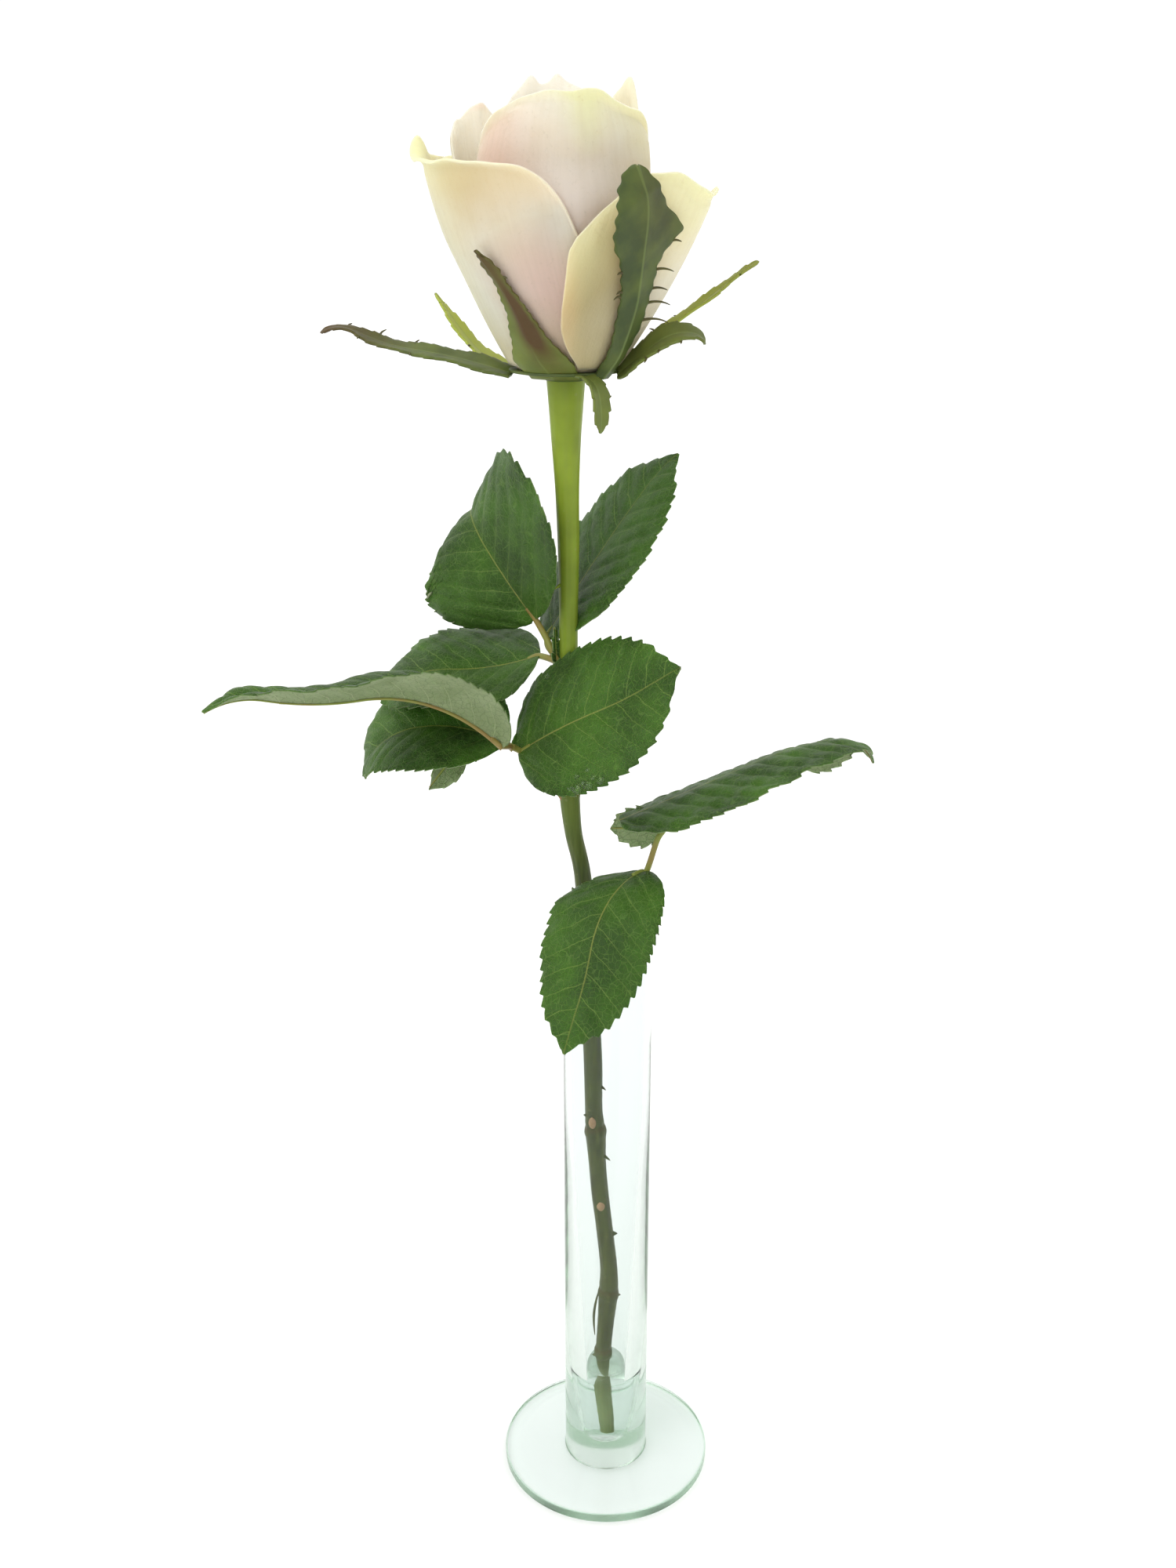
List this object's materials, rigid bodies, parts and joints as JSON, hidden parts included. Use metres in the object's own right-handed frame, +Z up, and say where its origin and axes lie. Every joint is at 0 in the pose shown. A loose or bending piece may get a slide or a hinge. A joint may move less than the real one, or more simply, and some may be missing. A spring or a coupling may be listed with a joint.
{
  "type": "cut rose in a bud vase",
  "caption": "Half-open rose on a leafy stem, leaning in a clear glass tube vase with a round foot and a little water.",
  "frame": {"origin": "centre of the underside of the vase's round foot", "axes": "+Z up along the tube; the flower's front faces -Y"},
  "size_m": [0.1577, 0.0885, 0.3809],
  "materials": {
    "vase_foot": "clear pressed glass",
    "vase_tube": "clear drawn glass",
    "water": "clear water, shown as glass",
    "stem": "living green stem, waxy",
    "leaf_upper": "leaf, satin",
    "leaf_middle": "leaf, satin",
    "leaf_lower": "leaf, satin",
    "calyx": "sepals, satin",
    "bloom": "petals, soft and matt"
  },
  "bodies": {
    "root": {"vase_foot": "vase_foot", "vase_tube": "vase_tube", "water": "water", "stem": "stem", "leaf_upper": "leaf_upper", "leaf_middle": "leaf_middle", "leaf_lower": "leaf_lower", "calyx": "calyx", "bloom": "bloom"}
  },
  "joints": []
}
